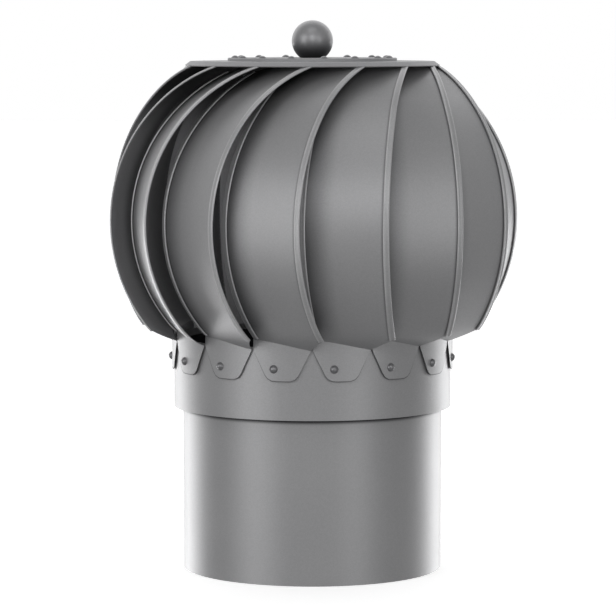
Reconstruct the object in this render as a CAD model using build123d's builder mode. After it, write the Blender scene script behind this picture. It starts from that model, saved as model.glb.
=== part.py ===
from build123d import *
import os
from math import asin, atan2, cos, degrees, radians, sin, tan

os.makedirs("parts", exist_ok=True)

# Roof turbine ventilator for a nominal 200 mm duct. Sizes are in millimetres, angles in degrees.
# The origin is the centre of the base pipe's open bottom end, and +Z points up along the shaft.
# The head turns on the shaft, and the base pipe carries the shaft's two ball bearings.

# clearances
seat_gap = 0.05            # between pieces that are seated on one another
hole_gap = 0.1             # around a rivet, bolt or stud, on the radius
fit_gap = 0.02             # around a turned fit, on the radius

# base pipe
duct_bore = 200.5          # slips over a nominal 200 mm duct
pipe_wall = 0.7
socket_depth = 128.0       # from the open end to the bead that stops the duct
neck_height = 50.0         # above the socket, around the straps
bead_depth = 1.5
bead_slope = 1.2           # height of each sloping side
bead_height = 4.0

# collar of the turning head
collar_gap = 6.25          # running gap around the pipe, on the radius
collar_wall = 0.8
collar_height = 55.0
collar_drop = 1.0          # bottom edge below the bead, which it hides

# blades: flat blanks with hemmed long edges, bent about a level axis so that their rulings are level.
# Each is drawn with its rulings along X and its bend in the YZ plane, on the -Y side of the shaft.
blade_count = 15
blade_sheet = 0.6
first_blade_turn = -30.0
bend_radius = 125.7        # outer face
bend_axis_reach = 17.2     # bend axis from the shaft's axis
bend_axis_rise = 146.0     # bend axis above the collar's bottom edge
crown_angle = 70.0         # above level, where the bend runs out straight under the top plate
foot_bend_radius = 49.5    # tighter bend above the collar
foot_bend_start_angle = 38.0  # below level
foot_bend_end_angle = 78.0
edge_half_height = 83.4    # from the bend axis to both ends of the edges' main arcs
inner_edge_middle = 5.0    # along the rulings
inner_edge_end = 12.9
inner_edge_tip = 18.5
outer_edge_middle = 71.8
outer_edge_end = 74.0
outer_edge_tip = 79.2
inner_tip_rise = 114.0     # above the bend axis
outer_tip_rise = 119.0
blank_spare = 10.0         # blank drawn past the finished sheet, then cut away

# hems: the blank's long edges are folded back on the outer face
hem_width = 4.8
hem_gap = 0.4              # between the face and the fold
hem_bend = 0.8             # width of the closed bend along the edge

# blade feet, riveted around the collar
foot_centre_turn = 17.8    # around the shaft, from the blade's own -Y direction
foot_half_width = 22.3
foot_shoulder_rise = 53.0  # above the collar's bottom edge
foot_bottom_half_width = 10.8
foot_corner_radius = 8.0
foot_side_lean = 2.0       # how far the left side leans in above its shoulder
foot_rivet_turn = 14.6
foot_rivet_rise = 39.0     # above the collar's bottom edge
foot_rivet_edge = 9.6      # from the rivet down to the tab's bottom edge
foot_rivet_head_height = 3.8 # nearly a whole ball, unlike the flatter domes of the other rivets

# blade crowns, riveted under the top plate
crown_half_width = 9.0
crown_end_reach = 40.3     # across the rulings
crown_corner_radius = 6.0
crown_lap = 0.5            # crown tab over the end of the bent sheet
crown_rivet_turn = 38.6
crown_rivet_radius = 60.0
rim_notch_start = 71.0     # along the rulings, where the sheet is notched around the plate's rim
rim_notch_gap = 0.6

# top plate and cover disc
plate_rise = 122.4         # top face above the bend axis
plate_sheet = 0.8
plate_flat_radius = 95.0
plate_radius = 99.0
plate_rim_drop = 3.0
cover_radius = 65.8
cover_thickness = 2.5
cover_chamfer = 0.5

# blind rivets with domed heads
rivet_radius = 1.6
rivet_head_radius = 3.2
rivet_head_height = 1.8
rivet_tail_radius = 2.3
rivet_tail_length = 2.4

# ball knob on the shaft's stud
ball_radius = 16.0
ball_height = 29.0         # flat base to top
stud_radius = 4.0
stud_grip = 13.0
stud_end_gap = 1.0

# shaft
shaft_radius = 8.0
journal_radius = 6.0
shaft_end = 3.0            # past the lower retaining ring

# hub flange, pinned to the shaft under the top plate
flange_radius = 24.0
flange_thickness = 4.0
boss_radius = 13.0
boss_length = 13.0
pin_radius = 2.0
pin_wall = 0.8
pin_slit = 0.5

# deep-groove ball bearings, 12 x 28 x 8, sealed on both sides
bearing_radius = 14.0
bearing_width = 8.0
pitch_radius = 10.0
ball_count = 8
bearing_ball_radius = 2.38
groove_gap = 0.07
inner_ring_radius = 8.6
outer_ring_bore = 11.4
cage_thickness = 1.4
cage_height = 6.0
seal_thickness = 0.5
seal_inset = 0.2
seal_lip_gap = 0.3

# bearing tube, spacer and retaining rings
tube_rise = 3.0            # bottom end above the socket
tube_height = 62.0
tube_radius = 17.0
tube_waist_radius = 12.0   # bore between the two bearing seats
tube_lip = 1.8             # tube end to the retaining ring
ring_thickness = 1.2
ring_depth = 0.6           # into its groove
ring_width = 2.4
ring_opening_angle = 30.0
spacer_wall = 1.7

# two pairs of straps that carry the bearing tube across the pipe
strap_thickness = 2.0
strap_height = 18.0
lower_strap_rise = 15.0    # middle above the socket
upper_strap_rise = 37.0
strap_split = 0.5          # half of the gap between the two straps of a pair
strap_foot_angle = 13.0    # around the pipe wall
strap_rivet_turn = 8.0
strap_bolt_reach = 31.0
bolt_radius = 2.5
bolt_head_across = 8.0
bolt_head_height = 3.5
bolt_end = 2.0             # past the nut
nut_height = 4.0

# heights and radii that follow from the sizes above
pipe_inner = duct_bore / 2
pipe_outer = pipe_inner + pipe_wall
pipe_height = socket_depth + neck_height
lower_strap_middle = socket_depth + lower_strap_rise
upper_strap_middle = socket_depth + upper_strap_rise
tube_bottom = socket_depth + tube_rise
collar_bottom = socket_depth - collar_drop
collar_inner = pipe_outer + collar_gap
collar_outer = collar_inner + collar_wall
foot_inner = collar_outer + seat_gap
foot_outer = foot_inner + blade_sheet
foot_rivet_height = collar_bottom + foot_rivet_rise
foot_bottom_height = foot_rivet_height - foot_rivet_edge
foot_shoulder_height = collar_bottom + foot_shoulder_rise
bend_axis_height = collar_bottom + bend_axis_rise
edge_low = bend_axis_height - edge_half_height
edge_high = bend_axis_height + edge_half_height
inner_tip_height = bend_axis_height + inner_tip_rise
outer_tip_height = bend_axis_height + outer_tip_rise
blade_pitch = 360 / blade_count
plate_top = bend_axis_height + plate_rise
plate_bottom = plate_top - plate_sheet
crown_top = plate_bottom - seat_gap
crown_bottom = crown_top - blade_sheet
cover_bottom = plate_top + seat_gap
cover_top = cover_bottom + cover_thickness
rivet_hole = rivet_radius + hole_gap
stud_hole = stud_radius + hole_gap
ball_bottom = cover_top + seat_gap
flange_top = plate_bottom - seat_gap
boss_bottom = flange_top - flange_thickness - boss_length
pin_level = boss_bottom + boss_length / 2
tube_top = tube_bottom + tube_height
lower_bearing_bottom = tube_bottom + tube_lip + ring_thickness + seat_gap
lower_bearing_top = lower_bearing_bottom + bearing_width
upper_bearing_top = tube_top - tube_lip - ring_thickness - seat_gap
upper_bearing_bottom = upper_bearing_top - bearing_width
bearing_seat = bearing_radius + fit_gap
journal_bore = journal_radius + fit_gap
shaft_shoulder = upper_bearing_top + seat_gap
shaft_ring_top = lower_bearing_bottom - seat_gap
shaft_bottom = shaft_ring_top - ring_thickness - shaft_end


def save(piece, name):
    piece.label = name
    export_step(piece, f"parts/{name}.step")


def radial_plane(radius, turn, level):
    """Plane that faces away from the shaft at a radius, turned from the X axis."""
    outward = Vector(cos(radians(turn)), sin(radians(turn)), 0)
    around = outward.rotate(Axis.Z, 90)
    return Plane(origin=outward * radius + Vector(0, 0, level), x_dir=around, z_dir=outward)


def ring_sector(inner, outer, start, size, mode=Mode.ADD):
    with BuildLine() as sector:
        far = CenterArc((0, 0), outer, start, size)
        near = CenterArc((0, 0), inner, start, size)
        Line(far @ 0, near @ 0)
        Line(far @ 1, near @ 1)
    make_face(sector.edges(), mode=mode)


def turned(*outlines):
    """Solid of revolution about the shaft from closed outlines of (radius, height) points."""
    with BuildPart() as body:
        with BuildSketch(Plane.XZ):
            for outline in outlines:
                with BuildLine():
                    Polyline(*outline, close=True)
                make_face()
        revolve(axis=Axis.Z)
    return body.part


def tube_outline(inner, outer, bottom, top):
    return [(inner, bottom), (outer, bottom), (outer, top), (inner, top)]


def blind_rivet(grip, head_height):
    """Rivet along Z with its head's seat at zero and its tail past the grip."""
    dome_turn = degrees(2 * atan2(head_height, rivet_head_radius))
    dome_radius = rivet_head_radius / sin(radians(dome_turn))
    with BuildPart() as rivet:
        with BuildSketch(Plane.XZ):
            with BuildLine():
                dome = JernArc((0, head_height), (1, 0), dome_radius, -dome_turn)
                Polyline(
                    dome @ 1,
                    (rivet_radius, 0),
                    (rivet_radius, -grip),
                    (rivet_tail_radius, -grip),
                    (rivet_tail_radius, -grip - rivet_tail_length),
                    (0, -grip - rivet_tail_length),
                    dome @ 0,
                )
            make_face()
        revolve(axis=Axis.Z)
    return rivet.part


# ---------- base pipe ----------
strap_pairs = {"lower": (0, lower_strap_middle), "upper": (90, upper_strap_middle)}
strap_rivets_at = [
    (pair_turn + side + sign * strap_rivet_turn, level)
    for pair_turn, level in strap_pairs.values()
    for side in (0, 180)
    for sign in (-1, 1)
]

pipe_line = [
    (0, 0),
    (0, socket_depth),
    (bead_depth, socket_depth + bead_slope),
    (bead_depth, socket_depth + bead_height - bead_slope),
    (0, socket_depth + bead_height),
    (0, pipe_height),
]
pipe_inside = [(pipe_inner - inward, level) for inward, level in pipe_line]
pipe_outside = [(pipe_outer - inward, level) for inward, level in reversed(pipe_line)]

with BuildPart() as base_pipe:
    with BuildSketch(Plane.XZ):
        with BuildLine():
            Polyline(*pipe_inside, *pipe_outside, close=True)
        make_face()
    revolve(axis=Axis.Z)
    for turn, level in strap_rivets_at:
        with BuildSketch(radial_plane(pipe_inner, turn, level)):
            Circle(rivet_hole)
        extrude(amount=strap_thickness, both=True, mode=Mode.SUBTRACT)
save(base_pipe.part, "base_pipe")

# ---------- straps, their bolts, nuts and rivets ----------
strap_foot_outer = pipe_inner - seat_gap
strap_foot_inner = strap_foot_outer - strap_thickness
clamp_inner = tube_radius + seat_gap
clamp_outer = clamp_inner + strap_thickness
split_turn = degrees(asin(strap_split / strap_foot_inner))
arm_start = clamp_inner
arm_end = strap_foot_outer - strap_thickness / 2
arm_middle = (arm_start + arm_end) / 2
bolt_seat = strap_split + strap_thickness + seat_gap

with BuildPart() as strap_form:
    with BuildSketch(Plane.XY.offset(-strap_height / 2)):
        ring_sector(strap_foot_inner, strap_foot_outer, split_turn, strap_foot_angle)
        ring_sector(strap_foot_inner, strap_foot_outer, 180 - split_turn - strap_foot_angle, strap_foot_angle)
        ring_sector(clamp_inner, clamp_outer, 0, 180)
        with Locations((arm_middle, strap_split), (-arm_middle, strap_split)):
            Rectangle(arm_end - arm_start, strap_thickness, align=(Align.CENTER, Align.MIN))
        Circle(clamp_inner, mode=Mode.SUBTRACT)
        with Locations((0, strap_split)):
            Rectangle(2 * pipe_inner, 2 * tube_radius, align=(Align.CENTER, Align.MAX), mode=Mode.SUBTRACT)
    extrude(amount=strap_height)
    with BuildSketch(Plane.XZ):
        with Locations((strap_bolt_reach, 0), (-strap_bolt_reach, 0)):
            Circle(bolt_radius + hole_gap)
    extrude(amount=2 * strap_thickness, both=True, mode=Mode.SUBTRACT)
    for turn in (strap_rivet_turn, 180 - strap_rivet_turn):
        with BuildSketch(radial_plane(strap_foot_inner, turn, 0)):
            Circle(rivet_hole)
        extrude(amount=2 * strap_thickness, both=True, mode=Mode.SUBTRACT)

for pair_name, (pair_turn, level) in strap_pairs.items():
    for half_name, half_turn in (("left", 0), ("right", 180)):
        with BuildPart() as strap:
            with Locations(Location((0, 0, level), (0, 0, pair_turn + half_turn))):
                add(strap_form.part)
        save(strap.part, f"{pair_name}_strap_{half_name}")

bolt_places = [
    Location((0, 0, level), (0, 0, pair_turn + side))
    for pair_turn, level in strap_pairs.values()
    for side in (0, 180)
]

with BuildPart() as strap_bolt:
    with BuildSketch(Plane.XZ.offset(bolt_seat)):
        with Locations((strap_bolt_reach, 0)):
            RegularPolygon(bolt_head_across / 2, 6, major_radius=False)
    extrude(amount=bolt_head_height)
    with BuildSketch(Plane.XZ.offset(bolt_seat)):
        with Locations((strap_bolt_reach, 0)):
            Circle(bolt_radius)
    extrude(amount=-2 * bolt_seat - nut_height - bolt_end)

with BuildPart() as strap_nut:
    with BuildSketch(Plane.XZ.offset(-bolt_seat)):
        with Locations((strap_bolt_reach, 0)):
            RegularPolygon(bolt_head_across / 2, 6, major_radius=False)
            Circle(bolt_radius + fit_gap, mode=Mode.SUBTRACT)
    extrude(amount=-nut_height)

with BuildPart() as strap_bolts:
    with Locations(*bolt_places):
        add(strap_bolt.part)
save(strap_bolts.part, "strap_bolts")

with BuildPart() as strap_nuts:
    with Locations(*bolt_places):
        add(strap_nut.part)
save(strap_nuts.part, "strap_nuts")

with BuildPart() as strap_rivets:
    for turn, level in strap_rivets_at:
        with Locations(radial_plane(pipe_outer + seat_gap, turn, level)):
            add(blind_rivet(pipe_wall + strap_thickness + 3 * seat_gap, rivet_head_height))
save(strap_rivets.part, "strap_rivets")

# ---------- bearing tube with its retaining rings ----------
ring_groove_radius = bearing_seat + ring_depth
lower_groove = tube_bottom + tube_lip
upper_groove = tube_top - tube_lip - ring_thickness

bearing_tube_outline = [
    (tube_radius, tube_bottom),
    (tube_radius, tube_top),
    (bearing_seat, tube_top),
    (bearing_seat, upper_groove + ring_thickness),
    (ring_groove_radius, upper_groove + ring_thickness),
    (ring_groove_radius, upper_groove),
    (bearing_seat, upper_groove),
    (bearing_seat, upper_bearing_bottom),
    (tube_waist_radius, upper_bearing_bottom),
    (tube_waist_radius, lower_bearing_top),
    (bearing_seat, lower_bearing_top),
    (bearing_seat, lower_groove + ring_thickness),
    (ring_groove_radius, lower_groove + ring_thickness),
    (ring_groove_radius, lower_groove),
    (bearing_seat, lower_groove),
    (bearing_seat, tube_bottom),
]
save(turned(bearing_tube_outline), "bearing_tube")

tube_ring_outer = ring_groove_radius - seat_gap
tube_ring_inner = tube_ring_outer - ring_width
for ring_name, groove in (("lower", lower_groove), ("upper", upper_groove)):
    with BuildPart() as tube_ring:
        with BuildSketch(Plane.XY.offset(groove)):
            ring_sector(tube_ring_inner, tube_ring_outer, ring_opening_angle / 2, 360 - ring_opening_angle)
        extrude(amount=ring_thickness)
    save(tube_ring.part, f"{ring_name}_tube_ring")

# ---------- ball bearings ----------
groove_radius = bearing_ball_radius + groove_gap
pocket_radius = bearing_ball_radius + hole_gap
cage_inner = pitch_radius - cage_thickness / 2
cage_outer = pitch_radius + cage_thickness / 2


def bearing_race(inner, outer, bottom):
    """Bearing ring with a rounded ball groove at half its width."""
    with BuildPart() as race:
        with BuildSketch(Plane.XZ):
            with BuildLine():
                Polyline(*tube_outline(inner, outer, bottom, bottom + bearing_width), close=True)
            make_face()
            with Locations((pitch_radius, bottom + bearing_width / 2)):
                Circle(groove_radius, mode=Mode.SUBTRACT)
        revolve(axis=Axis.Z)
    return race.part


for bearing_name, bottom in (("lower", lower_bearing_bottom), ("upper", upper_bearing_bottom)):
    middle = bottom + bearing_width / 2
    save(bearing_race(journal_bore, inner_ring_radius, bottom), f"{bearing_name}_inner_race")
    save(bearing_race(outer_ring_bore, bearing_radius, bottom), f"{bearing_name}_outer_race")

    with BuildPart() as balls:
        with Locations((0, 0, middle)):
            with PolarLocations(pitch_radius, ball_count):
                Sphere(bearing_ball_radius)
    save(balls.part, f"{bearing_name}_balls")

    with BuildPart() as cage:
        with BuildSketch(Plane.XY.offset(middle - cage_height / 2)):
            Circle(cage_outer)
            Circle(cage_inner, mode=Mode.SUBTRACT)
        extrude(amount=cage_height)
        for number in range(ball_count):
            with BuildSketch(radial_plane(pitch_radius, number * 360 / ball_count, middle)):
                Circle(pocket_radius)
            extrude(amount=cage_thickness, both=True, mode=Mode.SUBTRACT)
    save(cage.part, f"{bearing_name}_cage")

    seal_inner = inner_ring_radius + seal_lip_gap
    seal_outer = outer_ring_bore - fit_gap
    lower_seal = bottom + seal_inset
    upper_seal = bottom + bearing_width - seal_inset - seal_thickness
    seals = turned(
        tube_outline(seal_inner, seal_outer, lower_seal, lower_seal + seal_thickness),
        tube_outline(seal_inner, seal_outer, upper_seal, upper_seal + seal_thickness),
    )
    save(seals, f"{bearing_name}_seals")

# ---------- shaft, spacer, retaining ring, hub flange and its pin ----------
shaft_groove_radius = journal_radius - ring_depth
shaft_ring_bottom = shaft_ring_top - ring_thickness
stud_top = ball_bottom + stud_grip

with BuildPart() as shaft:
    with BuildSketch(Plane.XZ):
        with BuildLine():
            Polyline(
                (0, shaft_bottom),
                (journal_radius, shaft_bottom),
                (journal_radius, shaft_ring_bottom),
                (shaft_groove_radius, shaft_ring_bottom),
                (shaft_groove_radius, shaft_ring_top),
                (journal_radius, shaft_ring_top),
                (journal_radius, shaft_shoulder),
                (shaft_radius, shaft_shoulder),
                (shaft_radius, flange_top),
                (stud_radius, flange_top),
                (stud_radius, stud_top),
                (0, stud_top),
                close=True,
            )
        make_face()
    revolve(axis=Axis.Z)
    with BuildSketch(Plane.YZ):
        with Locations((0, pin_level)):
            Circle(pin_radius + fit_gap)
    extrude(amount=boss_radius, both=True, mode=Mode.SUBTRACT)
save(shaft.part, "shaft")

spacer_outline = tube_outline(
    journal_bore,
    journal_bore + spacer_wall,
    lower_bearing_top + seat_gap,
    upper_bearing_bottom - seat_gap,
)
save(turned(spacer_outline), "bearing_spacer")

with BuildPart() as shaft_ring:
    with BuildSketch(Plane.XY.offset(shaft_ring_bottom)):
        ring_sector(
            shaft_groove_radius + fit_gap,
            shaft_groove_radius + ring_width,
            ring_opening_angle / 2,
            360 - ring_opening_angle,
        )
    extrude(amount=ring_thickness)
save(shaft_ring.part, "shaft_ring")

with BuildPart() as hub_flange:
    with BuildSketch(Plane.XY.offset(boss_bottom)):
        Circle(boss_radius)
    extrude(amount=boss_length)
    with BuildSketch(Plane.XY.offset(flange_top - flange_thickness)):
        Circle(flange_radius)
    extrude(amount=flange_thickness)
    with BuildSketch(Plane.XY.offset(boss_bottom)):
        Circle(shaft_radius + fit_gap)
    extrude(amount=boss_length + flange_thickness, mode=Mode.SUBTRACT)
    with BuildSketch(Plane.YZ):
        with Locations((0, pin_level)):
            Circle(pin_radius + fit_gap)
    extrude(amount=boss_radius, both=True, mode=Mode.SUBTRACT)
save(hub_flange.part, "hub_flange")

with BuildPart() as hub_pin:
    with BuildSketch(Plane.YZ.offset(-boss_radius)):
        with Locations((0, pin_level)):
            Circle(pin_radius)
            Circle(pin_radius - pin_wall, mode=Mode.SUBTRACT)
            Rectangle(pin_slit, 2 * pin_radius, align=(Align.CENTER, Align.MIN), mode=Mode.SUBTRACT)
    extrude(amount=2 * boss_radius)
save(hub_pin.part, "hub_pin")

# ---------- top plate, cover disc and ball knob ----------
rim_angle = degrees(atan2(plate_rim_drop, plate_radius - plate_flat_radius))
rim_back = plate_sheet * sin(radians(rim_angle))
rim_down = plate_sheet * cos(radians(rim_angle))
knee_back = plate_sheet * tan(radians(rim_angle / 2))
crown_rivets_at = [
    first_blade_turn + crown_rivet_turn - 90 + number * blade_pitch for number in range(blade_count)
]

with BuildPart() as top_plate:
    with BuildSketch(Plane.XZ):
        with BuildLine():
            Polyline(
                (stud_hole, plate_bottom),
                (stud_hole, plate_top),
                (plate_flat_radius, plate_top),
                (plate_radius, plate_top - plate_rim_drop),
                (plate_radius - rim_back, plate_top - plate_rim_drop - rim_down),
                (plate_flat_radius - knee_back, plate_bottom),
                close=True,
            )
        make_face()
    revolve(axis=Axis.Z)
    with BuildSketch(Plane.XY.offset(plate_bottom)):
        with PolarLocations(crown_rivet_radius, blade_count, start_angle=crown_rivets_at[0]):
            Circle(rivet_hole)
    extrude(amount=plate_sheet, mode=Mode.SUBTRACT)
save(top_plate.part, "top_plate")

with BuildPart() as cover_disc:
    with BuildSketch(Plane.XY.offset(cover_bottom)):
        Circle(cover_radius)
    extrude(amount=cover_thickness)
    chamfer(cover_disc.faces().sort_by(Axis.Z)[-1].edges(), cover_chamfer)
    with BuildSketch(Plane.XY.offset(cover_bottom)):
        Circle(stud_hole)
        with PolarLocations(crown_rivet_radius, blade_count, start_angle=crown_rivets_at[0]):
            Circle(rivet_hole)
    extrude(amount=cover_thickness, mode=Mode.SUBTRACT)
save(cover_disc.part, "cover_disc")

with BuildPart() as ball_knob:
    with Locations((0, 0, ball_bottom + ball_height - ball_radius)):
        Sphere(ball_radius)
    with BuildSketch(Plane.XY.offset(ball_bottom)):
        Circle(ball_radius)
    extrude(amount=-ball_radius, mode=Mode.SUBTRACT)
    with BuildSketch(Plane.XY.offset(ball_bottom)):
        Circle(stud_radius + fit_gap)
    extrude(amount=stud_grip + stud_end_gap, mode=Mode.SUBTRACT)
save(ball_knob.part, "ball_knob")

crown_grip = cover_top - crown_bottom + 2 * seat_gap
with BuildPart() as crown_rivets:
    with Locations((0, 0, cover_top + seat_gap)):
        with PolarLocations(crown_rivet_radius, blade_count, start_angle=crown_rivets_at[0]):
            add(blind_rivet(crown_grip, rivet_head_height))
save(crown_rivets.part, "crown_rivets")

# ---------- collar and its rivets ----------
foot_rivets_at = [
    first_blade_turn + foot_rivet_turn - 90 + number * blade_pitch for number in range(blade_count)
]

with BuildPart() as collar:
    with BuildSketch(Plane.XY.offset(collar_bottom)):
        Circle(collar_outer)
        Circle(collar_inner, mode=Mode.SUBTRACT)
    extrude(amount=collar_height)
    for turn in foot_rivets_at:
        with BuildSketch(radial_plane(collar_inner, turn, foot_rivet_height)):
            Circle(rivet_hole)
        extrude(amount=2 * collar_wall, both=True, mode=Mode.SUBTRACT)
save(collar.part, "collar")

foot_grip = collar_wall + blade_sheet + 4 * seat_gap
with BuildPart() as collar_rivets:
    for turn in foot_rivets_at:
        with Locations(radial_plane(foot_outer + seat_gap, turn, foot_rivet_height)):
            add(blind_rivet(foot_grip, foot_rivet_head_height))
save(collar_rivets.part, "collar_rivets")

# ---------- blades ----------
bend_centre = Vector(-bend_axis_reach, bend_axis_height)
foot_centre_reach = bend_radius - foot_bend_radius
foot_centre = bend_centre + Vector(-1, 0).rotate(Axis.Z, foot_bend_start_angle) * foot_centre_reach
foot_right_turn = foot_centre_turn + degrees(asin(foot_half_width / foot_outer))
foot_right_reach = foot_outer * sin(radians(foot_right_turn))
foot_left_turn = foot_centre_turn - degrees(asin(foot_half_width / foot_outer))
foot_left_reach = foot_outer * sin(radians(foot_left_turn))
crown_middle = crown_rivet_radius * sin(radians(crown_rivet_turn))
blade_depth = bend_axis_reach + bend_radius + blank_spare
blade_length = outer_edge_tip + blank_spare


def bend_point(centre, radius, angle):
    """Point of a bend at an angle above level, as (y, z)."""
    return centre + Vector(-1, 0).rotate(Axis.Z, -angle) * radius


def crown_run_out(offset):
    """Where the straight run-out of a bent face meets the crown tab's top."""
    start = bend_point(bend_centre, bend_radius + offset, crown_angle)
    rise = crown_top - bend_point(bend_centre, bend_radius, crown_angle).Y
    return start + Vector(1, 0).rotate(Axis.Z, 90 - crown_angle) * rise / cos(radians(crown_angle))


def bent_region(offset, mode=Mode.ADD):
    """Region on the hollow side of the sheet, out to a face offset from the sheet's outer face."""
    main = bend_radius + offset
    tight = foot_bend_radius + offset
    foot_middle = (foot_bend_start_angle + foot_bend_end_angle) / 2
    with BuildLine() as region:
        foot_arc = ThreePointArc(
            bend_point(foot_centre, tight, -foot_bend_end_angle),
            bend_point(foot_centre, tight, -foot_middle),
            bend_point(foot_centre, tight, -foot_bend_start_angle),
        )
        main_arc = ThreePointArc(
            foot_arc @ 1,
            bend_point(bend_centre, main, 0),
            bend_point(bend_centre, main, crown_angle),
        )
        run_out = Line(main_arc @ 1, crown_run_out(offset))
        Polyline(run_out @ 1, bend_centre, foot_centre, foot_arc @ 0)
    make_face(region.edges(), mode=mode)


def edge_line(middle, end, tip, tip_height, shift):
    """One long edge of the blank, moved along the rulings by a shift. Returns its two ends."""
    main_arc = ThreePointArc(
        (end + shift, edge_low),
        (middle + shift, bend_axis_height),
        (end + shift, edge_high),
    )
    tip_arc = TangentArc(main_arc @ 1, (tip + shift, tip_height), tangent=main_arc % 1)
    return main_arc @ 0, tip_arc @ 1


inner_edge = (inner_edge_middle, inner_edge_end, inner_edge_tip, inner_tip_height)
outer_edge = (outer_edge_middle, outer_edge_end, outer_edge_tip, outer_tip_height)


def blank_outline():
    left = crown_middle - crown_half_width
    right = crown_middle + crown_half_width
    with BuildLine() as blank:
        inner_low, inner_high = edge_line(*inner_edge, 0)
        outer_low, outer_high = edge_line(*outer_edge, 0)
        Polyline(
            inner_high,
            (left, outer_tip_height),
            (left, plate_top),
            (right, plate_top),
            (right, outer_tip_height),
            outer_high,
        )
        Polyline(
            outer_low,
            (foot_right_reach, foot_shoulder_height),
            (foot_right_reach, foot_bottom_height),
            (foot_left_reach, foot_bottom_height),
            inner_low,
        )
    make_face(blank.edges())


def edge_strip(edge, width):
    """Strip of the blank between one long edge and its copy a width away."""
    with BuildLine() as strip:
        low, high = edge_line(*edge, 0)
        shifted_low, shifted_high = edge_line(*edge, width)
        Line(low, shifted_low)
        Line(high, shifted_high)
    make_face(strip.edges())


def bent_sheet(near, far, outline, *outline_sizes):
    """Layer of sheet between two offsets from the outer face, cut to an outline seen along Y."""
    with BuildPart() as layer:
        with BuildSketch(Plane.YZ):
            bent_region(far)
            bent_region(near, mode=Mode.SUBTRACT)
        extrude(amount=blade_length)
        with BuildSketch(Plane.XZ):
            outline(*outline_sizes)
        extrude(amount=blade_depth, mode=Mode.INTERSECT)
    return layer.part


foot_head = foot_bottom_height + edge_half_height

with BuildPart() as foot_tab:
    with BuildSketch(Plane.XY.offset(foot_bottom_height)):
        Circle(foot_outer)
        Circle(foot_inner, mode=Mode.SUBTRACT)
    extrude(amount=edge_half_height)
    with BuildSketch(radial_plane(0, foot_centre_turn - 90, 0)) as foot_shape:
        with BuildLine():
            Polyline(
                (-foot_half_width, foot_shoulder_height),
                (-foot_bottom_half_width, foot_bottom_height),
                (foot_bottom_half_width, foot_bottom_height),
                (foot_half_width, foot_shoulder_height),
                (foot_half_width, foot_head),
                (foot_side_lean - foot_half_width, foot_head),
                close=True,
            )
        make_face()
        fillet(foot_shape.vertices().group_by(Axis.Y)[0], foot_corner_radius)
    extrude(amount=foot_outer + blank_spare, mode=Mode.INTERSECT)
    with BuildSketch(Plane.YZ):
        bent_region(-blade_sheet)
    extrude(amount=blade_length, mode=Mode.SUBTRACT)

crown_length = -crown_run_out(0).X + crown_lap - crown_end_reach

with BuildPart() as blade_form:
    add(bent_sheet(-blade_sheet, 0, blank_outline))
    for edge, inward in ((inner_edge, 1), (outer_edge, -1)):
        add(bent_sheet(0, hem_gap, edge_strip, edge, inward * hem_bend))
        add(bent_sheet(hem_gap, hem_gap + blade_sheet, edge_strip, edge, inward * hem_width))
    # cut back to the collar and around the plate's rim, then add both tabs
    with BuildSketch(Plane.XY.offset(foot_bottom_height)):
        Circle(foot_inner)
    extrude(amount=foot_shoulder_height - foot_bottom_height + blank_spare, mode=Mode.SUBTRACT)
    with BuildSketch(Plane.XY.offset(outer_tip_height - blank_spare)):
        Circle(plate_radius + rim_notch_gap)
        with Locations((rim_notch_start, 0)):
            Rectangle(
                plate_radius + rim_notch_start + blank_spare,
                2 * (plate_radius + blank_spare),
                align=(Align.MAX, Align.CENTER),
                mode=Mode.SUBTRACT,
            )
    extrude(amount=2 * blank_spare, mode=Mode.SUBTRACT)
    add(foot_tab.part)
    with BuildSketch(Plane.XY.offset(crown_bottom)) as crown_shape:
        with Locations((crown_middle, -crown_end_reach)):
            Rectangle(2 * crown_half_width, crown_length, align=(Align.CENTER, Align.MAX))
        fillet(crown_shape.vertices().group_by(Axis.Y)[-1], crown_corner_radius)
    extrude(amount=blade_sheet)
    # rivet holes
    with BuildSketch(radial_plane(foot_inner, foot_rivet_turn - 90, foot_rivet_height)):
        Circle(rivet_hole)
    extrude(amount=2 * blade_sheet, both=True, mode=Mode.SUBTRACT)
    with BuildSketch(Plane.XY.offset(crown_bottom)):
        with PolarLocations(crown_rivet_radius, 1, start_angle=crown_rivet_turn - 90):
            Circle(rivet_hole)
    extrude(amount=blade_sheet, mode=Mode.SUBTRACT)

for number in range(blade_count):
    with BuildPart() as blade:
        add(blade_form.part, rotation=(0, 0, first_blade_turn + number * blade_pitch))
    save(blade.part, f"blade_{number + 1:02d}")
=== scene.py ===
import bpy
import math
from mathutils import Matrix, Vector


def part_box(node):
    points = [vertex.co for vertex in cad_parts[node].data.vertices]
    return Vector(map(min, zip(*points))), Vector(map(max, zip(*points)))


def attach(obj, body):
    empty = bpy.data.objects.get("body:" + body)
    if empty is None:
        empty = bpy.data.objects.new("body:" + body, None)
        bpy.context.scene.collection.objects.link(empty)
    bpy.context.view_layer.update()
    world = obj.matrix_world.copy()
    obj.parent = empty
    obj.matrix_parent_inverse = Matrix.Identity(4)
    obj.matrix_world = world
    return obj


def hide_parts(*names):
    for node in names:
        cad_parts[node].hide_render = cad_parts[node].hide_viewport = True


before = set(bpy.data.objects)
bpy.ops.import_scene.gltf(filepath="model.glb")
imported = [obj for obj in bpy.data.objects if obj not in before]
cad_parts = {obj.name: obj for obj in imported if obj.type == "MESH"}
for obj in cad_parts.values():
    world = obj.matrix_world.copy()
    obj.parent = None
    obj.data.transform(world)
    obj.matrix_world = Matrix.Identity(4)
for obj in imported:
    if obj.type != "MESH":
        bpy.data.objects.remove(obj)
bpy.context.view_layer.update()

mm = 0.001
print("frame loaded")

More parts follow.
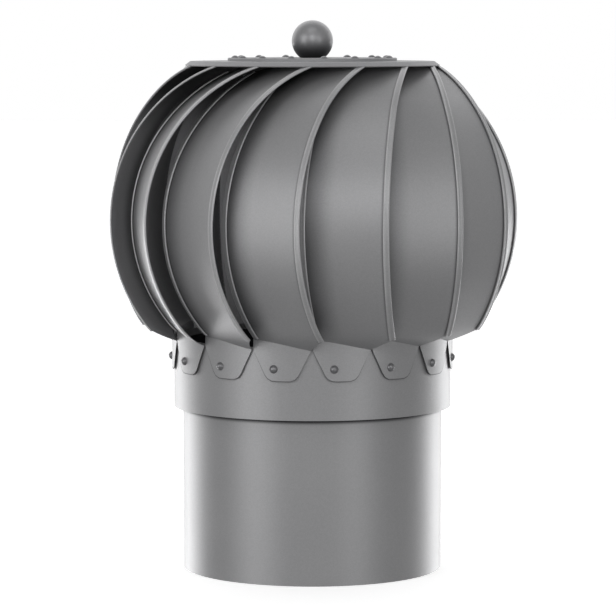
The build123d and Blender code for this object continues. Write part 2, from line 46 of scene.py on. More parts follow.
# long lens level with the ball knob, aimed down so that the square frame holds the whole part
cameraSet = {
    "place": (0.0, -2.4554, 0.4205),
    "aimHeight": 0.2027,       # height on the shaft that falls on the middle row
    "aimSide": -0.0034,        # the shaft stands a little right of the middle
    "focalPixels": 3150,
    "frame": 616,
    "sensor": 36.0,
    "clipStart": 0.1,
    "clipEnd": 60,
}
cameraData = bpy.data.cameras.new("productCamera")
cameraData.sensor_width = cameraSet["sensor"]
cameraData.lens = cameraSet["sensor"] * cameraSet["focalPixels"] / cameraSet["frame"]
cameraData.clip_start = cameraSet["clipStart"]
cameraData.clip_end = cameraSet["clipEnd"]
camera = bpy.data.objects.new("productCamera", cameraData)
bpy.context.scene.collection.objects.link(camera)
camera.location = cameraSet["place"]
aim = Vector((cameraSet["aimSide"], 0, cameraSet["aimHeight"])) - camera.location
camera.rotation_euler = aim.to_track_quat("-Z", "Y").to_euler()
bpy.context.scene.camera = camera
bpy.context.scene.view_settings.view_transform = "Standard"
print("camera ready")


# sRGB hex to the linear colour that a shader takes
def toLinear(hexColour):
    channels = [int(hexColour[i:i + 2], 16) / 255 for i in (1, 3, 5)]
    return tuple(c / 12.92 if c <= 0.04045 else ((c + 0.055) / 1.055) ** 2.4 for c in channels) + (1.0,)


# adds one node: settings are input names, input numbers or node properties, links join sockets to inputs
def addNode(tree, kind, settings=(), links=()):
    node = tree.nodes.new(kind)
    for name, value in dict(settings).items():
        if isinstance(name, int) or name in node.inputs:
            node.inputs[name].default_value = value
        else:
            setattr(node, name, value)
    for name, socket in dict(links).items():
        tree.links.new(socket, node.inputs[name])
    return node


def newMaterial(name):
    material = bpy.data.materials.new(name)
    material.use_nodes = True
    tree = material.node_tree
    return material, tree, tree.nodes["Principled BSDF"]


# Powder coat on sheet: clouds of shade, sparkling flakes and orange peel, all sized in mm. The flake of an
# aluminium-effect powder is 0.03 mm, too fine to show in a render, so it is drawn 0.6 mm wide.
def powderCoat(name, look):
    material, tree, shader = newMaterial(name)
    place = addNode(tree, "ShaderNodeTexCoord").outputs["Object"]
    cloud = addNode(tree, "ShaderNodeTexNoise", {
        "Scale": 1 / (look["cloudSize"] * mm), "Detail": look["cloudDetail"],
        "Roughness": look["cloudRoughness"],
    }, {"Vector": place}).outputs["Fac"]
    flake = addNode(tree, "ShaderNodeTexVoronoi", {"Scale": 1 / (look["flakeSize"] * mm)}, {"Vector": place})
    peel = addNode(tree, "ShaderNodeTexNoise", {
        "Scale": 1 / (look["peelSize"] * mm), "Detail": look["peelDetail"],
        "Roughness": look["peelRoughness"],
    }, {"Vector": place})
    tint = addNode(tree, "ShaderNodeMix", {
        "data_type": "RGBA", 6: toLinear(look["dark"]), 7: toLinear(look["light"]),
    }, {0: cloud}).outputs[2]
    if "reach" in look:        # painted shade: darker from the blade's open edge towards its hidden one
        reach = addNode(tree, "ShaderNodeAttribute", {"attribute_name": "reach"}).outputs["Fac"]
        openShare = addNode(tree, "ShaderNodeMapRange", {
            "From Min": look["reach"][0], "From Max": look["reach"][1], "interpolation_type": "SMOOTHSTEP",
        }, {"Value": reach}).outputs["Result"]
        tint = addNode(tree, "ShaderNodeMix", {"data_type": "RGBA", 6: toLinear(look["insideShade"])},
                       {0: openShare, 7: tint}).outputs[2]
    if "paintedShade" in look:         # painted shade on the face, in cloudy streaks along the slot under the neighbouring blade
        paintedShade = addNode(tree, "ShaderNodeAttribute", {"attribute_name": "paintedShade"}).outputs["Fac"]
        streak = addNode(tree, "ShaderNodeMath", {"operation": "MULTIPLY", 1: look["streakStrength"]},
                         {0: cloud})
        patchy = addNode(tree, "ShaderNodeMath", {"operation": "ADD", 1: look["streakBase"]},
                         {0: streak.outputs[0]})
        shaded = addNode(tree, "ShaderNodeMath", {"operation": "MULTIPLY", "use_clamp": True},
                        {0: paintedShade, 1: patchy.outputs[0]}).outputs[0]
        tint = addNode(tree, "ShaderNodeMix", {"data_type": "RGBA", 7: toLinear(look["paintedShade"])},
                       {0: shaded, 6: tint}).outputs[2]
    if "bandShade" in look:        # painted shade over a band of height, from where it starts to where it is full
        height = addNode(tree, "ShaderNodeSeparateXYZ", {}, {"Vector": place}).outputs["Z"]
        shadeWeight = addNode(tree, "ShaderNodeMapRange", {
            "From Min": look["band"][0], "From Max": look["band"][1], "interpolation_type": "SMOOTHSTEP",
        }, {"Value": height}).outputs["Result"]
        tint = addNode(tree, "ShaderNodeMix", {"data_type": "RGBA", 7: toLinear(look["bandShade"])},
                       {0: shadeWeight, 6: tint}).outputs[2]
    if "stepShade" in look:        # painted shade in the step beside the open edge's hem
        across = addNode(tree, "ShaderNodeAttribute", {"attribute_name": "reach"}).outputs["Fac"]
        line = addNode(tree, "ShaderNodeMapRange", {
            "From Min": look["step"][0], "From Max": look["step"][1], "interpolation_type": "SMOOTHSTEP",
        }, {"Value": across}).outputs["Result"]
        hemmed = addNode(tree, "ShaderNodeAttribute", {"attribute_name": "hemmed"}).outputs["Fac"]
        stepShaded = addNode(tree, "ShaderNodeMath", {"operation": "MULTIPLY"}, {0: line, 1: hemmed}).outputs[0]
        tint = addNode(tree, "ShaderNodeMix", {"data_type": "RGBA", 7: toLinear(look["stepShade"])},
                       {0: stepShaded, 6: tint}).outputs[2]
    if "highlightTint" in look:       # painted highlight: lighter along the folded edges
        highlight = addNode(tree, "ShaderNodeAttribute", {"attribute_name": "highlight"}).outputs["Fac"]
        glinting = addNode(tree, "ShaderNodeMath", {"operation": "MULTIPLY"}, {0: highlight, 1: cloud}).outputs[0]
        tint = addNode(tree, "ShaderNodeMix", {"data_type": "RGBA", 7: toLinear(look["highlightTint"])},
                       {0: glinting, 6: tint}).outputs[2]
    flakeGrey = addNode(tree, "ShaderNodeSeparateColor", {}, {"Color": flake.outputs["Color"]}).outputs["Red"]
    sparkle = addNode(tree, "ShaderNodeMapRange", {
        "To Min": 1 - look["sparkle"], "To Max": 1 + look["sparkle"],
    }, {"Value": flakeGrey}).outputs["Result"]
    colour = addNode(tree, "ShaderNodeVectorMath", {"operation": "MULTIPLY"}, {0: tint, 1: sparkle})
    tree.links.new(colour.outputs["Vector"], shader.inputs["Base Color"])
    rough = addNode(tree, "ShaderNodeMapRange", {"To Min": look["roughLow"], "To Max": look["roughHigh"]},
                    {"Value": cloud})
    tree.links.new(rough.outputs["Result"], shader.inputs["Roughness"])
    shader.inputs["Metallic"].default_value = look["metallic"]
    bump = addNode(tree, "ShaderNodeBump", {
        "Strength": look["peelStrength"], "Distance": look["peelDepth"] * mm,
    }, {"Height": peel.outputs["Fac"]})
    tree.links.new(bump.outputs["Normal"], shader.inputs["Normal"])
    return material


# Bare or plated metal: spangle or cloud in patches, and drawing or grinding lines that run one way.
# Real lines are 0.02 mm apart, and are drawn at lineSize so that they show.
def bareMetal(name, look):
    material, tree, shader = newMaterial(name)
    place = addNode(tree, "ShaderNodeTexCoord").outputs["Object"]
    if look.get("turned"):     # lines run around the shaft
        split = addNode(tree, "ShaderNodeSeparateXYZ", {}, {"Vector": place})
        flat = addNode(tree, "ShaderNodeCombineXYZ", {}, {"X": split.outputs["X"], "Y": split.outputs["Y"]})
        radius = addNode(tree, "ShaderNodeVectorMath", {"operation": "LENGTH"}, {0: flat.outputs[0]})
        along = addNode(tree, "ShaderNodeCombineXYZ", {}, {
            "X": radius.outputs["Value"], "Z": split.outputs["Z"],
        }).outputs[0]
    else:
        along = addNode(tree, "ShaderNodeMapping", {"Scale": look["stretch"]}, {"Vector": place}).outputs[0]
    lines = addNode(tree, "ShaderNodeTexNoise", {
        "Scale": 1 / (look["lineSize"] * mm), "Detail": look["lineDetail"],
        "Roughness": look["lineRoughness"],
    }, {"Vector": along}).outputs["Fac"]
    patch = addNode(tree, "ShaderNodeTexVoronoi", {"Scale": 1 / (look["patchSize"] * mm)}, {"Vector": place})
    patchGrey = addNode(tree, "ShaderNodeSeparateColor", {}, {"Color": patch.outputs["Color"]}).outputs["Red"]
    share = addNode(tree, "ShaderNodeMath", {"operation": "MULTIPLY"}, {0: patchGrey, 1: lines})
    tint = addNode(tree, "ShaderNodeMix", {
        "data_type": "RGBA", 6: toLinear(look["dark"]), 7: toLinear(look["light"]),
    }, {0: share.outputs[0]})
    tree.links.new(tint.outputs[2], shader.inputs["Base Color"])
    rough = addNode(tree, "ShaderNodeMapRange", {"To Min": look["roughLow"], "To Max": look["roughHigh"]},
                    {"Value": lines})
    tree.links.new(rough.outputs["Result"], shader.inputs["Roughness"])
    shader.inputs["Metallic"].default_value = look["metallic"]
    bump = addNode(tree, "ShaderNodeBump", {
        "Strength": look["lineStrength"], "Distance": look["lineDepth"] * mm,
    }, {"Height": lines})
    tree.links.new(bump.outputs["Normal"], shader.inputs["Normal"])
    return material


# aluminium-effect polyester powder on galvanised sheet: a soft satin grey with wide, blurred highlights
sheetCoatLook = {
    "light": "#b4b4b5", "dark": "#ababad", "cloudSize": 60.0, "cloudDetail": 3.0, "cloudRoughness": 0.55,
    "flakeSize": 0.6, "sparkle": 0.05, "roughLow": 0.42, "roughHigh": 0.48, "metallic": 0.5,
    "peelSize": 1.8, "peelDetail": 2.0, "peelRoughness": 0.5, "peelStrength": 0.12, "peelDepth": 0.05,
    "streakStrength": 0.35, "streakBase": 0.75,
}
collarCoat = powderCoat("powderCoatedCollarSheet", sheetCoatLook)
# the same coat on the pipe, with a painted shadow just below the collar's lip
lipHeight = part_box("collar")[0][2]
lipShadow = {"start": 4.5, "full": 1.0}      # mm below the lip
pipeCoat = powderCoat("powderCoatedPipeSheet", dict(
    sheetCoatLook, bandShade="#2c2c2e", band=[lipHeight - lipShadow[end] * mm for end in ("start", "full")]))
# the same powder on the bent blades, with painted highlights on the folded edges and painted shade by the
# slots and beside the hems
bladeCoat = powderCoat("powderCoatedBladeSheet", dict(
    sheetCoatLook, highlightTint="#e0e0e1", paintedShade="#363638", stepShade="#8e8e90", step=(0.905, 0.935)))
# a paler coat inside the head, with painted shade: darker away from a blade's open edge,
# and darker still under the plate
insideCoat = powderCoat("insideBladeCoatPaintedShade", dict(
    sheetCoatLook, light="#c4c4c6", dark="#b8b8ba", insideShade="#7e7e80", reach=(0.05, 0.6),
    bandShade="#29292b", band=(0.325, 0.38), roughLow=0.5, roughHigh=0.62, metallic=0.1))
# the top lies under dust and weather, which dulls the coat and takes its sheen
weatheredCoat = powderCoat("weatheredTopSheet", dict(
    sheetCoatLook, light="#b2b2b4", dark="#a2a2a4", cloudSize=35.0,
    roughLow=0.5, roughHigh=0.66, metallic=0.35))
# rivet heads are touched up by brush, glossier and darker than the sheet around them
rivetCoat = powderCoat("paintedRivetHeads", dict(
    sheetCoatLook, light="#979799", dark="#828284", cloudSize=3.0,
    roughLow=0.28, roughHigh=0.36, metallic=0.6, peelSize=0.9))
# moulded ball knob in grey enamel: a smooth skin, with painted shade darkening its lower part
knobLow, knobHigh = [corner[2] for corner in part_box("ball_knob")]
knobShade = {"start": 0.62, "full": 0.1}   # shares of the ball's height
knobCoat = powderCoat("enamelledBallKnob", dict(
    sheetCoatLook, light="#adadaf", dark="#9c9c9e", cloudSize=14.0, sparkle=0.03,
    roughLow=0.34, roughHigh=0.42, peelSize=2.5, peelStrength=0.06, bandShade="#3a3a3c",
    band=[knobLow + knobShade[end] * (knobHigh - knobLow) for end in ("start", "full")]))

# bright zinc plate over drawn steel: pale, with cloudy patches and faint drawing lines
zincLook = {
    "light": "#d2d4d6", "dark": "#9fa1a4", "stretch": (1.0, 1.0, 0.06), "lineSize": 0.5, "lineDepth": 0.02,
    "lineDetail": 4.0, "lineRoughness": 0.6, "lineStrength": 0.2,
    "patchSize": 6.0, "roughLow": 0.26, "roughHigh": 0.42, "metallic": 1.0,
}
zincSteel = bareMetal("zincPlatedSteel", zincLook)
# turned bright steel bar: fine lines around the axis and a clean sheen
turnedSteel = bareMetal("turnedBrightSteel", dict(
    zincLook, light="#c9c9ca", dark="#a8a8aa", turned=True, patchSize=9.0, roughLow=0.2, roughHigh=0.32))
# phosphated spring steel: nearly black, with a dry grey bloom
springSteel = bareMetal("phosphatedSpringSteel", dict(
    zincLook, light="#5a5a5c", dark="#2f2f31", turned=True, patchSize=1.5, roughLow=0.45, roughHigh=0.6))
# ground bearing steel: mirror-like tracks with grinding lines around them
bearingSteel = bareMetal("groundBearingSteel", dict(
    zincLook, light="#dcdcde", dark="#c3c3c6", turned=True, lineSize=0.3, lineDepth=0.005,
    patchSize=12.0, roughLow=0.1, roughHigh=0.2))
# pressed steel cage: warm grey, matt from tumbling
cageSteel = bareMetal("tumbledCageSteel", dict(
    zincLook, light="#b7b4ae", dark="#8e8b86", stretch=(1.0, 1.0, 1.0),
    patchSize=0.8, roughLow=0.35, roughHigh=0.5))
# nitrile rubber seal: soft black with a grey bloom, moulded with faint rings
sealRubber = bareMetal("nitrileSealRubber", dict(
    zincLook, light="#3a3a3a", dark="#151515", turned=True, patchSize=2.0, lineSize=0.4,
    roughLow=0.55, roughHigh=0.7, metallic=0.0))

slotFinish = {
    "pipe_paint": pipeCoat, "head_paint": collarCoat, "blade_paint": bladeCoat, "knob_paint": knobCoat,
    "rivet_paint": rivetCoat, "bright_steel": turnedSteel, "zinc_steel": zincSteel,
    "spring_steel": springSteel, "bearing_steel": bearingSteel, "cage_steel": cageSteel,
    "seal_rubber": sealRubber,
}
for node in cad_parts.values():
    for place in node.material_slots:
        place.material = slotFinish[place.material.name]
for nodeName in ("top_plate", "cover_disc"):
    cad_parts[nodeName].data.materials[0] = weatheredCoat
print("finishes ready")

# Each louvre blade is one blank of thin sheet, rolled to a curve, with both long edges folded over as hems,
# a crown tab riveted under the top plate and a foot tab riveted around the collar. Sizes are in mm and
# degrees: first the rolled face, then its two edges, the hems, the crown tab and the foot tab.
blade = {
    "count": 15, "firstTurn": -30.0, "sheet": 0.6, "softWidth": 0.15, "softAngle": 28.0,
    "bendRadius": 125.7, "bendReach": 17.2, "bendHeight": 273.0, "crownAngle": 70.0,
    "footRadius": 49.5, "footAngle": -38.0, "crownTop": 394.55,
    "edgeHalf": 83.4,
    "inner": {"middle": 5.0, "end": 12.9, "tip": 18.5, "tipHeight": 387.0},
    "outer": {"middle": 71.8, "end": 74.0, "tip": 79.2, "tipHeight": 392.0},
    "hemWidth": 4.8, "hemRise": 1.0, "hemBead": 0.45, "hemEdge": 0.8, "hemSharp": 50.0,
    "hemMargins": (0.1, 1.05), "foldStep": 20, "foldHighlightFrom": 60, "foldHighlight": 0.6,
    "tabLeft": 28.43, "tabRight": 46.43, "crownEnd": 40.3, "crownCorner": 6.0,
    "crownDrops": (0.9, 0.35), "crownSteps": [0.4, 3.0, 6.5, 10.0], "cornerTurns": (0, 30, 60, 80, 90),
    "footMid": 109.8, "footTurn": 17.8, "footHalf": 22.3, "footShoulder": 180.0, "footInset": 0.25,
    "footBottom": 156.4, "footBottomHalf": 10.8, "footCorner": 8.0, "creaseLow": 177.8, "creaseHigh": 200.0,
    "footRows": (0.17, 0.34, 0.5, 0.67, 0.83, 0.93, 0.965, 1.0),
}
# painted shade on the outer face: how far it spreads from the hidden edge as a share of the width, how fast
# it fades upwards from the foot and downwards from the plate, and the share of a foot tab that stays unshaded
shadeSpread = {"reach": 0.38, "fade": 18.0, "top": 368.0, "power": 1.3, "under": 0.8, "tabUnshaded": 0.965}
edgeLow = blade["bendHeight"] - blade["edgeHalf"]
edgeHigh = blade["bendHeight"] + blade["edgeHalf"]


# centre and radius of an edge's main arc, which bows towards the middle value
def edgeArc(middle, end):
    bow = end - middle
    radius = (blade["edgeHalf"] ** 2 + bow ** 2) / (2 * bow)
    return middle + radius, radius


# how far along the rulings an edge stands at a height
def edgeReach(edge, height):
    centre, radius = edgeArc(edge["middle"], edge["end"])
    if height <= edgeHigh:
        offset = height - blade["bendHeight"]
        return centre - math.sqrt(radius ** 2 - offset ** 2)
    slope = blade["edgeHalf"] / (centre - edge["end"])
    run = edge["tipHeight"] - edgeHigh
    curve = (edge["tip"] - edge["end"] - slope * run) / run ** 2
    step = height - edgeHigh
    return edge["end"] + slope * step + curve * step ** 2


# outward distance of the outer face at a height, and its normal as (outward, up)
def facePoint(height):
    footTurn = math.radians(blade["footAngle"])
    crownTurn = math.radians(blade["crownAngle"])
    joinHeight = blade["bendHeight"] + blade["bendRadius"] * math.sin(footTurn)
    crownHeight = blade["bendHeight"] + blade["bendRadius"] * math.sin(crownTurn)
    if height < joinHeight:
        shift = blade["bendRadius"] - blade["footRadius"]
        centreReach = blade["bendReach"] + shift * math.cos(footTurn)
        centreHeight = blade["bendHeight"] + shift * math.sin(footTurn)
        turn = math.asin(max(-1.0, (height - centreHeight) / blade["footRadius"]))
        return centreReach + blade["footRadius"] * math.cos(turn), (math.cos(turn), math.sin(turn))
    if height <= crownHeight:
        turn = math.asin((height - blade["bendHeight"]) / blade["bendRadius"])
        return blade["bendReach"] + blade["bendRadius"] * math.cos(turn), (math.cos(turn), math.sin(turn))
    reach = blade["bendReach"] + blade["bendRadius"] * math.cos(crownTurn)
    reach -= (height - crownHeight) * math.tan(crownTurn)
    return reach, (math.cos(crownTurn), math.sin(crownTurn))


# point a rise above the outer face, as (along the rulings, outward, up)
def onFace(along, height, rise=0.0):
    reach, normal = facePoint(height)
    return (along, reach + rise * normal[0], height + rise * normal[1])


# point of the foot tab's outer face, from its sideways offset
def footPoint(side, height):
    turn = math.radians(blade["footTurn"]) + math.asin(side / blade["footMid"])
    return (blade["footMid"] * math.sin(turn), blade["footMid"] * math.cos(turn), height)


# height at which the bent sheet meets the foot tab
def creaseHeight(along):
    reach = math.sqrt(blade["footMid"] ** 2 - along ** 2)
    low, high = blade["creaseLow"], blade["creaseHigh"]
    for _ in range(40):        # halved until it no longer moves
        middle = (low + high) / 2
        if facePoint(middle)[0] < reach:
            low = middle
        else:
            high = middle
    return (low + high) / 2


# point at a share of the length of a chain of points
def walk(points, share):
    lengths = [math.dist(points[i], points[i + 1]) for i in range(len(points) - 1)]
    left = share * sum(lengths)
    for i, length in enumerate(lengths):
        if left <= length or i == len(lengths) - 1:
            part = left / length if length else 0.0
            return tuple(a + (b - a) * part for a, b in zip(points[i], points[i + 1]))
        left -= length


# points of the arc that rounds a corner in the plane
def roundedCorner(before, corner, after, radius, steps=5):
    toBefore = (Vector(before) - Vector(corner)).normalized()
    toAfter = (Vector(after) - Vector(corner)).normalized()
    half = toBefore.angle(toAfter) / 2
    centre = Vector(corner) + (toBefore + toAfter).normalized() * (radius / math.sin(half))
    first = Vector(corner) + toBefore * (radius / math.tan(half)) - centre
    last = Vector(corner) + toAfter * (radius / math.tan(half)) - centre
    return [tuple(centre + first.slerp(last, i / steps) * radius) for i in range(steps + 1)]


# how much painted shade the outer face takes at a share of the way from the hidden edge, none on a foot tab
def shadeAt(share, height):
    across = max(0.0, 1 - share / shadeSpread["reach"])
    up = min(1.0, max(0.0, (height - blade["footShoulder"]) / shadeSpread["fade"]))
    under = min(1.0, max(0.0, (height - shadeSpread["top"]) / shadeSpread["fade"]))
    under *= max(0.0, 1 - shadeSpread["under"] * share)
    return min(1.0, across ** shadeSpread["power"] * up + shadeSpread["under"] * under)


# vertices and faces, with each vertex's share of the way from the hidden edge to the open one and its painted
# shade
def bladeSheet():
    innerEdge, outerEdge, hem = blade["inner"], blade["outer"], blade["hemEdge"]
    tipSpan = outerEdge["tip"] - innerEdge["tip"]
    tabFrom = (blade["tabLeft"] - innerEdge["tip"]) / tipSpan
    tabTo = (blade["tabRight"] - innerEdge["tip"]) / tipSpan
    hiddenColumns, tabColumns, openColumns = 4, 7, 11
    shares = [tabFrom * i / hiddenColumns for i in range(hiddenColumns)]
    shares += [tabFrom + (tabTo - tabFrom) * i / tabColumns for i in range(tabColumns)]
    shares += [tabTo + (1 - tabTo) * i / openColumns for i in range(openColumns + 1)]
    vertices, faces, reaches, grid = [], [], [], []

    def addRow(points, rowShares):
        start = len(vertices)
        vertices.extend(points)
        reaches.extend(rowShares)
        return list(range(start, start + len(points)))

    def joinRows(lower, upper):
        faces.extend((lower[i], lower[i + 1], upper[i + 1], upper[i]) for i in range(len(lower) - 1))

    # from the crease up to the edges' lower ends
    leftSide = footPoint(blade["footInset"] - blade["footHalf"], blade["footShoulder"])[0]
    rightSide = footPoint(blade["footHalf"], blade["footShoulder"])[0]
    crease = [(leftSide + (rightSide - leftSide) * share) for share in shares]
    lowRows = 6
    lowSpan = outerEdge["end"] - innerEdge["end"] - 2 * hem
    for i in range(lowRows):
        part = i / lowRows
        points = []
        for share, along in zip(shares, crease):
            height = creaseHeight(along)
            topAlong = innerEdge["end"] + hem + lowSpan * share
            points.append(onFace(along + (topAlong - along) * part, height + (edgeLow - height) * part))
        grid.append(addRow(points, shares))

    # the rolled sheet between its two hems
    rows = 66
    for i in range(rows + 1):
        height = edgeLow + (innerEdge["tipHeight"] - edgeLow) * i / rows
        left = edgeReach(innerEdge, height) + hem
        right = edgeReach(outerEdge, height) - hem
        grid.append(addRow([onFace(left + (right - left) * share, height) for share in shares], shares))

    # the slanted top edge
    below = [vertices[i] for i in grid[-1]]
    topRows = 3
    for i in range(1, topRows + 1):
        points = []
        for share, point in zip(shares, below):
            along = innerEdge["tip"] + hem + (tipSpan - 2 * hem) * share
            rise = min(1.0, (along - innerEdge["tip"]) / (blade["tabLeft"] - innerEdge["tip"]))
            target = innerEdge["tipHeight"] + (outerEdge["tipHeight"] - innerEdge["tipHeight"]) * rise
            part = i / topRows
            points.append(onFace(point[0] + (along - point[0]) * part, point[2] + (target - point[2]) * part))
        grid.append(addRow(points, shares))
    for lower, upper in zip(grid, grid[1:]):
        joinRows(lower, upper)

    # crown tab: the sheet runs out, then lies flat under the top plate with two rounded corners
    left, right, corner = blade["tabLeft"], blade["tabRight"], blade["crownCorner"]
    topReach = facePoint(blade["crownTop"])[0]
    tabSlice = slice(hiddenColumns, hiddenColumns + tabColumns + 1)
    previous = grid[-1][tabSlice]
    tabShares = shares[tabSlice]
    for drop in blade["crownDrops"]:
        height = blade["crownTop"] - drop
        points = [onFace(left + (right - left) * i / tabColumns, height) for i in range(tabColumns + 1)]
        row = addRow(points, tabShares)
        joinRows(previous, row)
        previous = row
    flatSpan = topReach - blade["crownEnd"]
    rounding = [flatSpan - corner * (1 - math.sin(math.radians(turn))) for turn in blade["cornerTurns"]]
    for step in blade["crownSteps"] + rounding:
        spare = max(0.0, corner - (flatSpan - step))
        inset = corner - math.sqrt(max(0.0, corner ** 2 - spare ** 2))
        width = right - left - 2 * inset
        sides = [left + inset + width * i / tabColumns for i in range(tabColumns + 1)]
        row = addRow([(side, topReach - step, blade["crownTop"]) for side in sides], tabShares)
        joinRows(previous, row)
        previous = row

    # foot tab: from the crease down to its rounded outline
    half, bottomHalf = blade["footHalf"], blade["footBottomHalf"]
    shoulder, bottom = blade["footShoulder"], blade["footBottom"]
    creaseSides = []
    for i in grid[0]:
        turn = math.atan2(vertices[i][0], vertices[i][1]) - math.radians(blade["footTurn"])
        creaseSides.append((blade["footMid"] * math.sin(turn), vertices[i][2]))
    leftShoulder, rightShoulder = (-half, shoulder), (half, shoulder)
    leftBottom, rightBottom = (-bottomHalf, bottom), (bottomHalf, bottom)
    outline = [creaseSides[0], leftShoulder]
    outline += roundedCorner(leftShoulder, leftBottom, rightBottom, blade["footCorner"])
    outline += roundedCorner(leftBottom, rightBottom, rightShoulder, blade["footCorner"])
    outline.append(rightShoulder)
    last = len(shares) - 1
    ends = [walk(outline, i / last) for i in range(last + 1)]
    previous = grid[0]
    # painted shade for each vertex, and on the foot tab painted shade that grows towards its rim
    paintedShades = [shadeAt(share, point[2]) for share, point in zip(reaches, vertices)]
    unshadedShare = shadeSpread["tabUnshaded"]
    for part in blade["footRows"]:
        row = [grid[0][0]]
        for i in range(1, last):
            side = creaseSides[i][0] + (ends[i][0] - creaseSides[i][0]) * part
            height = creaseSides[i][1] + (ends[i][1] - creaseSides[i][1]) * part
            row += addRow([footPoint(side, height)], [shares[i]])
        row.append(grid[0][last])
        for i in range(last):
            corners = [row[i], row[i + 1], previous[i + 1], previous[i]]
            corners = [c for n, c in enumerate(corners) if c not in corners[:n]]
            if len(corners) > 2:
                faces.append(tuple(corners))
        previous = row
        paintedShades.extend([max(0.0, part - unshadedShare) / (1 - unshadedShare)] * (last - 1))
    return vertices, faces, reaches, paintedShades


# the hem's section past its fold: the beaded flange as shares of the width and of the bead, its rim in mm
# from the rim's end and from the flange, both with how much painted highlight they take, and its underside in
# mm from the rim's end and from the blade's face
hemFlange = (
    (0.25, 0.27, 0.3), (0.42, 0.1, 0.2), (0.58, 0.27, 0.3),
    (0.7, 0.7, 0.7), (0.8, 1.0, 1.0), (0.9, 0.93, 1.0),
)
hemRim = ((0.2, 0.1575, 0.8), (0.0, -0.2, 0.0))
hemUnder = ((0.08, 0.46), (0.4, 0.3), (2.6, 0.25), (3.4, -0.1))


# one folded hem: the section swept along the edge, with how much painted highlight each vertex takes
def hemLoop(edge, inward):
    width, rise, bead = blade["hemWidth"], blade["hemRise"], blade["hemBead"]
    back = -blade["sheet"]
    middle, radius = (rise + back) / 2, (rise - back) / 2
    section = []
    for turn in range(0, 181, blade["foldStep"]):
        angle = math.radians(turn)
        # painted highlight on the outer part of the fold
        highlight = blade["foldHighlight"] if turn > blade["foldHighlightFrom"] else 0.0
        section.append((radius - radius * math.sin(angle), middle - radius * math.cos(angle), highlight))
    section += [(width * part, rise + bead * lift, highlight) for part, lift, highlight in hemFlange]
    section += [(width - inset, rise + lift, highlight) for inset, lift, highlight in hemRim]
    section += [(width - inset, lift, 0.0) for inset, lift in hemUnder]
    section.append((width - hemUnder[-1][0], back, 0.0))
    vertices, faces, highlights, count = [], [], [], len(section)
    steps = 84
    for i in range(steps + 1):
        height = edgeLow + (edge["tipHeight"] - edgeLow) * i / steps
        reach = edgeReach(edge, height)
        vertices.extend(onFace(reach + inward * across, height, up) for across, up, _ in section)
        highlights.extend(highlight for _, _, highlight in section)
    for i in range(steps):
        for j in range(count):
            here, over = i * count + j, i * count + (j + 1) % count
            face = (here, over, over + count, here + count)
            faces.append(face if inward > 0 else face[::-1])
    first = tuple(range(count))
    last = tuple(range(steps * count, (steps + 1) * count))
    faces.append(first[::-1] if inward > 0 else first)
    faces.append(last if inward > 0 else last[::-1])
    return vertices, faces, highlights


# point of a blade's own frame, set around the shaft and turned to metres
def turnAround(point, turn):
    along, reach, height = point
    angle = math.radians(turn)
    x = along * math.cos(angle) + reach * math.sin(angle)
    y = along * math.sin(angle) - reach * math.cos(angle)
    return (x * mm, y * mm, height * mm)


def addPiece(name, vertices, faces, finishes, marks=None):
    mesh = bpy.data.meshes.new(name)
    mesh.from_pydata(vertices, [], faces)
    mesh.update()
    mesh.shade_smooth()
    for markName, values in (marks or {}).items():
        layer = mesh.attributes.new(markName, "FLOAT", "POINT")
        layer.data.foreach_set("value", values)
    for finish in finishes:
        mesh.materials.append(finish)
    piece = bpy.data.objects.new(name, mesh)
    bpy.context.scene.collection.objects.link(piece)
    return piece


sheetVertices, sheetFaces, sheetReaches, sheetPaintedShades = bladeSheet()
lowMargin, highMargin = blade["hemMargins"]        # past the hems' ends
hemmedFrom, hemmedTo = edgeLow - lowMargin, blade["outer"]["tipHeight"] + highMargin
# the strip along the hems where painted shade lines the step beside the open edge's hem
sheetHemmed = [1.0 if hemmedFrom < point[2] < hemmedTo else 0.0 for point in sheetVertices]
hems = {"Inner": hemLoop(blade["inner"], 1), "Outer": hemLoop(blade["outer"], -1)}
for number in range(blade["count"]):
    turn = blade["firstTurn"] + number * 360 / blade["count"]
    points = [turnAround(point, turn) for point in sheetVertices]
    # marks: the share across the blade, the painted shade, and the strip beside the hems where painted shade
    # lines the step
    marks = {"reach": sheetReaches, "paintedShade": sheetPaintedShades, "hemmed": sheetHemmed}
    sheet = addPiece(f"louvreSheet{number + 1:02d}", points, sheetFaces, (bladeCoat, insideCoat), marks)
    thick = sheet.modifiers.new("sheetThickness", "SOLIDIFY")
    thick.thickness = blade["sheet"] * mm
    thick.offset = -1.0                # inwards from the outer face
    thick.material_offset = 1          # the inner face takes the second finish
    soft = sheet.modifiers.new("softEdges", "BEVEL")
    soft.width = blade["softWidth"] * mm
    soft.segments = 2
    soft.limit_method = "ANGLE"
    soft.angle_limit = math.radians(blade["softAngle"])
    soft.harden_normals = True
    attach(sheet, "head")
    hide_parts(f"blade_{number + 1:02d}")
    for side, (hemVertices, hemFaces, hemHighlights) in hems.items():
        points = [turnAround(point, turn) for point in hemVertices]
        # the hem carries its painted highlight as a mark
        hem = addPiece(f"louvre{side}Hem{number + 1:02d}", points, hemFaces, (bladeCoat,), {"highlight": hemHighlights})
        hem.data.set_sharp_from_angle(angle=math.radians(blade["hemSharp"]))
        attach(hem, "head")
print("blades ready")

# white acrylic table, lit from beneath so that it meets the background without a line
table = {"radius": 12.0, "corners": 128, "colour": "#f4f4f4", "roughness": 0.8, "glow": 0.55}
bpy.ops.mesh.primitive_circle_add(vertices=table["corners"], radius=table["radius"], fill_type="NGON")
floor = bpy.context.object
floor.name = "studioTable"
floor.visible_diffuse = False
floor.visible_glossy = False
tableMaterial, _, tableShader = newMaterial("opalAcrylicTable")
tableShader.inputs["Base Color"].default_value = toLinear(table["colour"])
tableShader.inputs["Roughness"].default_value = table["roughness"]
tableShader.inputs["Emission Color"].default_value = toLinear("#ffffff")
tableShader.inputs["Emission Strength"].default_value = table["glow"]
floor.data.materials.append(tableMaterial)

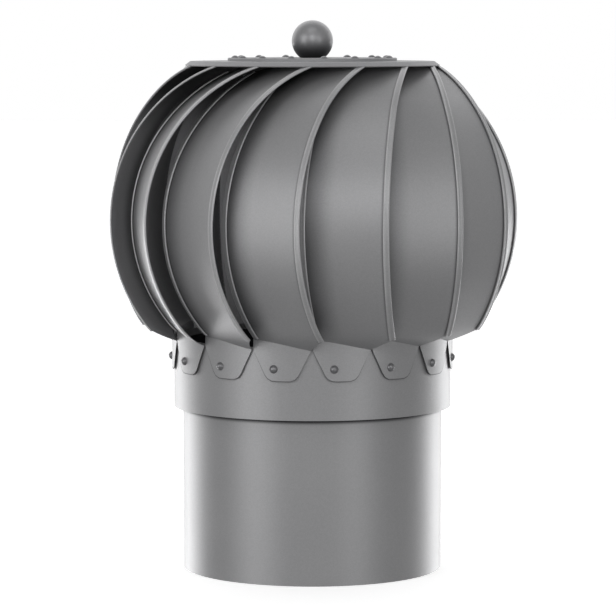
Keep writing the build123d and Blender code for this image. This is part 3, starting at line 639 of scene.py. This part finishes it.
# white room, brighter behind the part, which edges it with light, and a little dimmer below
room = {
    "colour": "#ffffff", "front": 0.3, "back": 1.3, "frontEdge": 0.15, "backEdge": 0.75,
    "below": 0.85, "above": 1.0, "lowEdge": -0.3, "highEdge": 0.2, "seen": 1.0,
}
world = bpy.data.worlds.new("studioRoom")
bpy.context.scene.world = world
world.use_nodes = True
roomTree = world.node_tree
roomTree.nodes.clear()
direction = addNode(roomTree, "ShaderNodeTexCoord").outputs["Generated"]
parts = addNode(roomTree, "ShaderNodeSeparateXYZ", {}, {"Vector": direction})
behind = addNode(roomTree, "ShaderNodeMapRange", {
    "From Min": room["frontEdge"], "From Max": room["backEdge"],
    "To Min": room["front"], "To Max": room["back"], "interpolation_type": "SMOOTHSTEP",
}, {"Value": parts.outputs["Y"]})
above = addNode(roomTree, "ShaderNodeMapRange", {
    "From Min": room["lowEdge"], "From Max": room["highEdge"],
    "To Min": room["below"], "To Max": room["above"], "interpolation_type": "SMOOTHSTEP",
}, {"Value": parts.outputs["Z"]})
level = addNode(roomTree, "ShaderNodeMath", {"operation": "MULTIPLY"},
                {0: behind.outputs["Result"], 1: above.outputs["Result"]})
roomWhite = toLinear(room["colour"])
lit = addNode(roomTree, "ShaderNodeBackground", {"Color": roomWhite}, {"Strength": level.outputs[0]})
seen = addNode(roomTree, "ShaderNodeBackground", {"Color": roomWhite, "Strength": room["seen"]})
ray = addNode(roomTree, "ShaderNodeLightPath")
mixed = addNode(roomTree, "ShaderNodeMixShader", {}, {
    0: ray.outputs["Is Camera Ray"], 1: lit.outputs[0], 2: seen.outputs[0],
})
addNode(roomTree, "ShaderNodeOutputWorld", {}, {"Surface": mixed.outputs[0]})

# softboxes: turn around the part from the front in degrees, height, distance and size in metres
lights = {
    "leftRim": {"turn": -138, "height": -0.6, "away": 2.6, "width": 1.6, "tall": 1.5, "radiance": 2.95},
    "rightRim": {"turn": 138, "height": -0.6, "away": 2.6, "width": 1.6, "tall": 1.5, "radiance": 2.85},
    "leftKey": {"turn": -50, "height": 0.55, "away": 2.6, "width": 1.3, "tall": 2.2, "radiance": 1.7},
    "rightKey": {"turn": 38, "height": 0.5, "away": 2.6, "width": 0.9, "tall": 2.2, "radiance": 1.2},
    "frontFill": {"turn": 0, "height": 1.15, "away": 2.8, "width": 1.1, "tall": 1.4, "radiance": 2.2},
    "topFill": {"turn": -10, "height": 2.8, "away": 1.2, "width": 1.6, "tall": 1.6, "radiance": 0.6},
}
lightAim = Vector((0, 0, 0.22))        # about the middle of the part
for lightName, setting in lights.items():
    lampData = bpy.data.lights.new(lightName, "AREA")
    lampData.shape = "RECTANGLE"
    lampData.size = setting["width"]
    lampData.size_y = setting["tall"]
    lampData.energy = setting["radiance"] * math.pi * setting["width"] * setting["tall"]
    lamp = bpy.data.objects.new(lightName, lampData)
    bpy.context.scene.collection.objects.link(lamp)
    turn = math.radians(setting["turn"])
    lamp.location = (setting["away"] * math.sin(turn), -setting["away"] * math.cos(turn), setting["height"])
    lamp.rotation_euler = (lightAim - lamp.location).to_track_quat("-Z", "Y").to_euler()
    lamp.visible_camera = False
print("studio ready")
